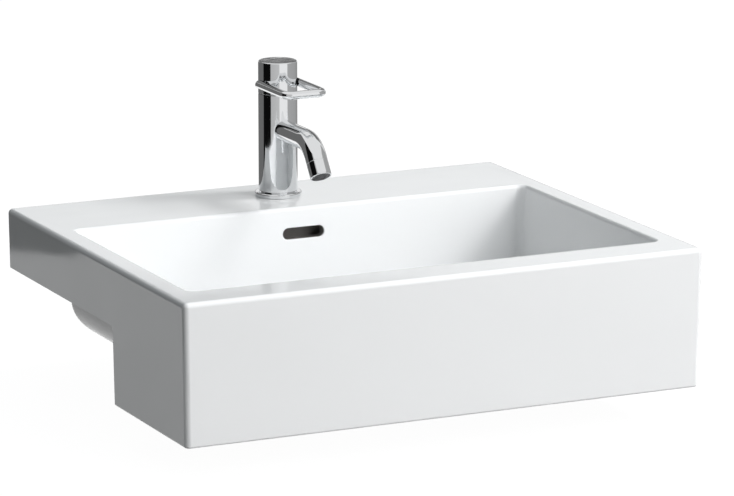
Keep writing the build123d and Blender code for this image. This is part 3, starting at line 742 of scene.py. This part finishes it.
@dataclass
class Spout(SubAssembly):
    """The bent spout and the screwed sleeve at its mouth."""

    height: float = 70.4
    start: float = 11.0
    reach: float = 66.5
    bend: float = 33.0
    turn: float = 55.0
    leg: float = 5.8
    radius: float = 11.0
    bore: float = 8.4
    sleeve: float = 16.0
    sleeve_wall: float = 1.4
    shoulder: float = 4.0
    lip: float = 0.5
    joint: float = 0.18
    thread_wall: float = 1.5
    tube_step: float = 0.9
    mouth_step: float = 1.2
    segments: int = 120

    def route(self) -> Route:
        """Return the centre line, from inside the column to the mouth."""
        arc = radians(self.turn)
        return Route(
            (0.0, self.tap_y - self.start, self.deck_z + self.height),
            (0.0, -1.0, 0.0),
            (1.0, 0.0, 0.0),
            ((self.reach - self.start, 0.0, 0.0), (self.bend * arc, self.bend, arc), (self.leg, 0.0, 0.0)),
        )

    def build(self, workshop: Workshop) -> None:
        """Build the tube and the sleeve."""
        route = self.route()
        length = sum(leg[0] for leg in route.legs)
        tube = eased(
            [(0.0, self.radius), (length, self.radius), (length, self.bore), (0.0, self.bore)],
            [0.0, self.joint, 0.0, 0.0],
            True,
        )
        rings = turned(filled_in(tube, self.tube_step, True), route, self.segments)
        self.fit(workshop, "spout_tube", rings, True, Slot.TAP, "spout")
        end = length + self.sleeve
        inner = self.radius - self.sleeve_wall
        neck = self.bore - self.thread_wall
        mouth = eased(
            [
                (length, self.radius),
                (end, self.radius),
                (end, inner),
                (length + self.shoulder, inner),
                (length + self.shoulder, neck),
                (length, neck),
            ],
            [self.joint, self.lip, self.lip, 0.0, 0.0, 0.0],
            True,
        )
        rings = turned(filled_in(mouth, self.mouth_step, True), route, self.segments)
        self.fit(workshop, "spout_sleeve", rings, True, Slot.TAP, "aerator_sleeve")


@dataclass
class LoopLever(SubAssembly):
    """The lever: a wire bent into a loop, flat inside each end where it passes the head."""

    pivot: float = 116.85
    half_width: float = 20.5
    reach: float = 69.0
    bend: float = 8.2
    wire: float = 4.3
    flat: float = 20.4
    flat_end: float = 10.29
    inner: float = 16.0
    front_bar: float = 40.0
    step: float = 0.6
    pole_angle: float = 0.04
    tip_points: int = 12
    segments: int = 64

    def route(self) -> Route:
        """Return the wire's centre line, from the left pivot round the front to the right pivot."""
        arm, bar, arc = self.reach - self.bend, 2 * (self.half_width - self.bend), self.bend * pi / 2
        return Route(
            (-self.half_width, self.tap_y, self.deck_z + self.pivot),
            (0.0, -1.0, 0.0),
            (0.0, 0.0, 1.0),
            (
                (arm, 0.0, 0.0),
                (arc, self.bend, pi / 2),
                (bar, 0.0, 0.0),
                (arc, self.bend, pi / 2),
                (arm, 0.0, 0.0),
            ),
        )

    def build(self, workshop: Workshop) -> None:
        """Build the loop, and press its inside flat where it passes the head."""
        route = self.route()
        length = sum(leg[0] for leg in route.legs)
        swell = np.linspace(self.pole_angle, pi / 2, self.tip_points)
        tip = np.stack([-self.wire * np.cos(swell), self.wire * np.sin(swell)], 1)
        end = np.stack([length + self.wire * np.cos(swell[::-1]), self.wire * np.sin(swell[::-1])], 1)
        rings = turned(filled_in(np.vstack([tip, end]), self.step, False), route, self.segments) / MM
        behind = rings[..., 1] - (self.tap_y - self.front_bar)
        edge = np.clip(self.flat + rings[..., 1] - self.tap_y + self.flat_end, self.inner, self.flat)
        pressed = np.sign(rings[..., 0]) * np.maximum(np.abs(rings[..., 0]), edge)
        rings[..., 0] = np.where(behind > 0, pressed, rings[..., 0])
        self.fit(workshop, "loop_wire", rings * MM, False, Slot.TAP, "loop_handle")


@dataclass
class TapFoot(SubAssembly):
    """The ring at the column's foot."""

    inner: float = 16.4
    outer: float = 24.0
    lift: float = 0.3
    height: float = 4.5
    edge: float = 1.5
    small: float = 0.25
    edge_steps: int = 10
    step: float = 1.0

    def build(self, workshop: Workshop) -> None:
        """Build the ring."""
        low, high = self.deck_z + self.lift, self.deck_z + self.height
        outline = eased(
            [(low, self.inner), (low, self.outer), (high, self.outer), (high, self.inner)],
            [0.0, self.small, self.edge, self.small],
            True,
            self.edge_steps,
        )
        rings = turned(filled_in(outline, self.step, True), self.upright(self.tap_y), self.segments)
        self.fit(workshop, "foot_ring", rings, True, Slot.TAP, "base_ring")


@dataclass
class TapHead(SubAssembly):
    """The hood over the cartridge."""

    bottom: float = 107.3
    height: float = 33.2
    radius: float = 20.0
    bore: float = 15.9
    roof: float = 4.0
    edge: float = 1.3
    small: float = 0.2
    pole: float = 0.5
    edge_steps: int = 8
    step: float = 1.5

    def build(self, workshop: Workshop) -> None:
        """Build the hood as one skin from the middle of its top to the middle of its ceiling."""
        low = self.deck_z + self.bottom
        high = low + self.height
        outline = eased(
            [
                (high, self.pole),
                (high, self.radius),
                (low, self.radius),
                (low, self.bore),
                (high - self.roof, self.bore),
                (high - self.roof, self.pole),
            ],
            [0.0, self.edge, self.small, self.small, 0.0, 0.0],
            False,
            self.edge_steps,
        )
        rings = turned(filled_in(outline, self.step, False), self.upright(self.tap_y), self.segments)
        self.fit(workshop, "head_hood", rings, False, Slot.TAP, "head_cap")


@dataclass
class Stud(SubAssembly):
    """The stud that pulls the tap down, with its rolled thread."""

    offset: float = 11.0
    radius: float = 4.0
    pitch: float = 1.25
    depth: float = 0.62
    bottom: float = 29.5
    top: float = 69.0
    chamfer: float = 0.8
    rows_per_turn: int = 10
    segments: int = 48

    def build(self, workshop: Workshop) -> None:
        """Build the stud.

        At height z and angle a the radius is R - d * |2 * frac(z / pitch - a / 2 pi) - 1|, a V thread of
        depth d that climbs one pitch in a turn, drawn in at both ends by a chamfer.
        """
        height = np.arange(self.bottom, self.top, self.pitch / self.rows_per_turn)
        angle = np.linspace(0.0, 2 * pi, self.segments, endpoint=False)
        phase = height[:, None] / self.pitch - angle[None, :] / (2 * pi)
        groove = np.abs(2 * (phase - np.floor(phase)) - 1)
        end = np.minimum(height - height[0], height[-1] - height)[:, None]
        radius = self.radius - np.maximum(self.depth * groove, self.chamfer - end)
        y = self.tap_y - self.offset
        rings = np.stack(
            [
                radius * np.cos(angle),
                y + radius * np.sin(angle),
                np.broadcast_to(height[:, None], radius.shape),
            ],
            -1,
        )
        self.fit(workshop, "threaded_stud", rings * MM, False, Slot.STEEL, "fixing_stud")


@dataclass
class PlugCover(SubAssembly):
    """The domed cover of the push-open waste."""

    centre: float = -267.75
    bottom: float = -31.0
    radius: float = 29.0
    edge: float = 2.0
    dome: float = 2.1
    corner: float = 0.9
    foot_edge: float = 0.3
    pole: float = 0.6
    crown_points: int = 40

    def build(self, workshop: Workshop) -> None:
        """Build the cover, its crown rising as z = edge + dome * (1 - (r / radius) ** 2)."""
        crown = np.linspace(self.radius, self.pole, self.crown_points)
        rise = self.bottom + self.edge + self.dome * (1 - (crown / self.radius) ** 2)
        foot = [(self.bottom, self.pole), (self.bottom, self.radius)]
        outline = [*foot, *zip(rise.tolist(), crown.tolist())]
        radii = [0.0, self.foot_edge, self.corner] + [0.0] * (len(crown) - 1)
        rings = turned(eased(outline, radii, False), self.upright(self.centre), self.segments)
        self.fit(workshop, "cover_crown", rings, False, Slot.WASTE, "plug_cover")


@dataclass
class Studio:
    """Floor, lamps, the tent that the chrome mirrors, and the camera."""

    floor_z: float = -0.1175
    floor_half: float = 30.0
    ambient: float = 0.06
    zenith: float = 0.55
    mirrored: float = 0.84
    tent_radius: float = 0.75
    tent_centre: float = -0.059
    tent_low: float = 0.17
    tent_tall: float = 0.7
    canopy: tuple[float, float, float] = (0.18, 0.335, 0.9)
    floor_grey: Colour = (0.1, 0.1, 0.1, 1.0)
    floor_glow: float = 0.97
    sky_tint: Colour = (0.93, 0.98, 1.0, 1.0)

    def build(self) -> None:
        """Build the whole set."""
        self._floor()
        self._world()
        self._lamps()
        self._tent()
        self._camera()
        bpy.context.scene.view_settings.view_transform = "Standard"

    @staticmethod
    def _shown(graph: Graph) -> bpy.types.NodeSocket:
        """Return 1 for rays that show the background: straight, mirrored or through glass."""
        path = graph.node("ShaderNodeLightPath").outputs
        return graph.math(
            "MAXIMUM",
            path["Is Camera Ray"],
            graph.math("MAXIMUM", path["Is Glossy Ray"], path["Is Transmission Ray"]),
        )

    def _floor(self) -> None:
        """Build the floor, white to the eye, with the object's shadow, and clear from below."""
        half = self.floor_half
        mesh = bpy.data.meshes.new("floor")
        corners = [(-half, -half, self.floor_z), (half, -half, self.floor_z), (half, half, self.floor_z)]
        mesh.from_pydata([*corners, (-half, half, self.floor_z)], [], [(0, 1, 2, 3)])
        floor = bpy.data.objects.new("floor", mesh)
        bpy.context.scene.collection.objects.link(floor)
        paint = bpy.data.materials.new("floor_paint")
        paint.use_nodes = True
        paint.node_tree.nodes.clear()
        graph = Graph(paint.node_tree)
        plain = graph.node("ShaderNodeBsdfDiffuse", {"Color": self.floor_grey})
        glow = graph.node("ShaderNodeEmission", {"Strength": self.floor_glow})
        bright = graph.node("ShaderNodeAddShader", {0: plain.outputs[0], 1: glow.outputs[0]})
        seen = graph.node(
            "ShaderNodeMixShader", {0: self._shown(graph), 1: plain.outputs[0], 2: bright.outputs[0]}
        )
        clear = graph.node("ShaderNodeBsdfTransparent")
        below = graph.node("ShaderNodeNewGeometry").outputs["Backfacing"]
        whole = graph.node("ShaderNodeMixShader", {0: below, 1: seen.outputs[0], 2: clear.outputs[0]})
        graph.node("ShaderNodeOutputMaterial", {"Surface": whole.outputs[0]})
        mesh.materials.append(paint)

    def _world(self) -> None:
        """Make the world white to the eye and dimmer as a light, which rises with the height squared."""
        world = bpy.data.worlds.new("studio")
        world.use_nodes = True
        world.node_tree.nodes.clear()
        graph = Graph(world.node_tree)
        ahead = graph.node("ShaderNodeTexCoord").outputs["Generated"]
        rise = graph.math("MAXIMUM", graph.node("ShaderNodeSeparateXYZ", {0: ahead}).outputs["Z"], 0.0)
        sky = graph.math("MULTIPLY", graph.math("POWER", rise, 2.0), self.zenith)
        strength = graph.math("ADD", sky, self.ambient)
        dim = graph.node("ShaderNodeBackground", {"Color": self.sky_tint, "Strength": strength})
        path = graph.node("ShaderNodeLightPath").outputs
        level = graph.node(
            "ShaderNodeMapRange",
            {"Value": path["Is Camera Ray"], "To Min": self.mirrored, "To Max": 1.0},
        ).outputs[0]
        white = graph.node("ShaderNodeBackground", {"Color": (1.0, 1.0, 1.0, 1.0), "Strength": level})
        both = graph.node(
            "ShaderNodeMixShader", {0: self._shown(graph), 1: dim.outputs[0], 2: white.outputs[0]}
        )
        graph.node("ShaderNodeOutputWorld", {"Surface": both.outputs[0]})
        bpy.context.scene.world = world

    @staticmethod
    def _lamp(name: str, towards: Point, far: float, side: float, watts: float) -> None:
        """Hang a square lamp that looks at the basin.

        Args:
            name: The lamp's name.
            towards: The direction from the basin to the lamp.
            far: Its distance in metres.
            side: The length of its sides in metres.
            watts: Its power.
        """
        light = bpy.data.lights.new(name, "AREA")
        light.energy = watts
        light.size = side
        lamp = bpy.data.objects.new(name, light)
        way = Vector(towards).normalized()
        lamp.location = Vector((0.0, -0.23, 0.03)) + way * far
        lamp.rotation_mode = "QUATERNION"
        lamp.rotation_quaternion = way.to_track_quat("Z", "Y")
        lamp.visible_glossy = False
        bpy.context.scene.collection.objects.link(lamp)

    def _lamps(self) -> None:
        """Hang the key at the right and the broad fill at the front."""
        self._lamp("key", towards=(1.0, -0.3, 1.0), far=5.0, side=1.4, watts=140.0)
        self._lamp("front_fill", towards=(0.45, -1.0, 0.35), far=3.6, side=2.6, watts=103.0)

    def _screen(self, name: str, table: list[tuple[float, float, float, float]]) -> None:
        """Stand a round screen that only mirrored rays meet, its grey and its edges set by the bearing.

        Its points are (R sin b, c - R cos b, z) for bearing b, and the level, the bottom and the top at b are
        read off the table in straight lines.

        Args:
            name: The screen's name.
            table: Rows of (bearing in degrees, level, bottom, top), in order.
        """
        known = np.array(table)
        bearing = np.linspace(known[0, 0], known[-1, 0], SCREEN_POINTS)
        level, low, high = (np.interp(bearing, known[:, 0], known[:, column]) for column in (1, 2, 3))
        turn = np.radians(bearing)
        rim = np.stack([np.sin(turn), -np.cos(turn)], 1) * self.tent_radius + (0.0, self.tent_centre)
        points = np.vstack([np.column_stack([rim, low]), np.column_stack([rim, high])])
        first = np.arange(len(rim) - 1)
        faces = np.stack([first, first + 1, first + 1 + len(rim), first + len(rim)], 1)
        mesh = bpy.data.meshes.new(name)
        mesh.from_pydata(points.tolist(), [], faces.tolist())
        mesh.attributes.new("level", "FLOAT", "POINT").data.foreach_set("value", np.tile(level, 2))
        paint = bpy.data.materials.new(name + "_cloth")
        paint.use_nodes = True
        paint.node_tree.nodes.clear()
        graph = Graph(paint.node_tree)
        read = graph.node("ShaderNodeAttribute", attribute_name="level").outputs["Fac"]
        glow = graph.node("ShaderNodeEmission", {"Strength": read})
        graph.node("ShaderNodeOutputMaterial", {"Surface": glow.outputs[0]})
        mesh.materials.append(paint)
        screen = bpy.data.objects.new(name, mesh)
        screen.visible_camera = screen.visible_diffuse = screen.visible_shadow = False
        screen.visible_transmission = screen.visible_volume_scatter = False
        bpy.context.scene.collection.objects.link(screen)

    def _tent(self) -> None:
        """Hang the tent: low behind the basin, so that its deck mirrors white, and tall elsewhere."""
        foot, low, tall = self.floor_z, self.tent_low, self.tent_tall
        self._screen(
            "tent",
            [
                (-205.0, 0.2, foot, low),
                (-165.0, 0.15, foot, low),
                (-150.0, 0.15, foot, tall),
                (-117.0, 0.15, foot, tall),
                (-115.0, 0.004, foot, tall),
                (-67.0, 0.004, foot, tall),
                (-65.0, 0.5, foot, tall),
                (-15.0, 0.58, foot, tall),
                (-13.0, 0.92, foot, tall),
                (33.0, 0.92, foot, tall),
                (36.0, 0.42, foot, tall),
                (95.0, 0.38, foot, tall),
                (110.0, 0.34, foot, low),
                (155.0, 0.2, foot, low),
            ],
        )
        self._screen("canopy", [(110.0, *self.canopy), (200.0, *self.canopy)])

    @staticmethod
    def _camera() -> None:
        """Stand the camera where the photograph was taken from."""
        frame_width, focal, yaw, pitch = 734.0, 4568.2, radians(25.195), radians(12.883)
        lens = bpy.data.cameras.new("camera")
        lens.sensor_width = 36.0
        lens.lens = focal / frame_width * lens.sensor_width
        lens.clip_end = 200.0
        camera = bpy.data.objects.new("camera", lens)
        camera.location = (-1.8702, -4.2486, 1.0539)
        camera.rotation_euler = (pi / 2 - pitch, 0.0, -yaw)
        bpy.context.scene.collection.objects.link(camera)
        bpy.context.scene.camera = camera


def main() -> None:
    """Dress the basin, light it and stand the camera."""
    logging.basicConfig(level=logging.INFO, format="%(name)s: %(message)s")
    workshop = Workshop()
    slots = {row["node"]: Slot(row["material_slot"]) for row in frame["record"]["subparts"]}
    for name, slot in slots.items():
        workshop.dress_node(name, slot)
    for assembly in (Spout(), LoopLever(), TapFoot(), TapHead(), Stud(), PlugCover()):
        assembly.build(workshop)
    Studio().build()


if __name__ == "__main__":
    main()
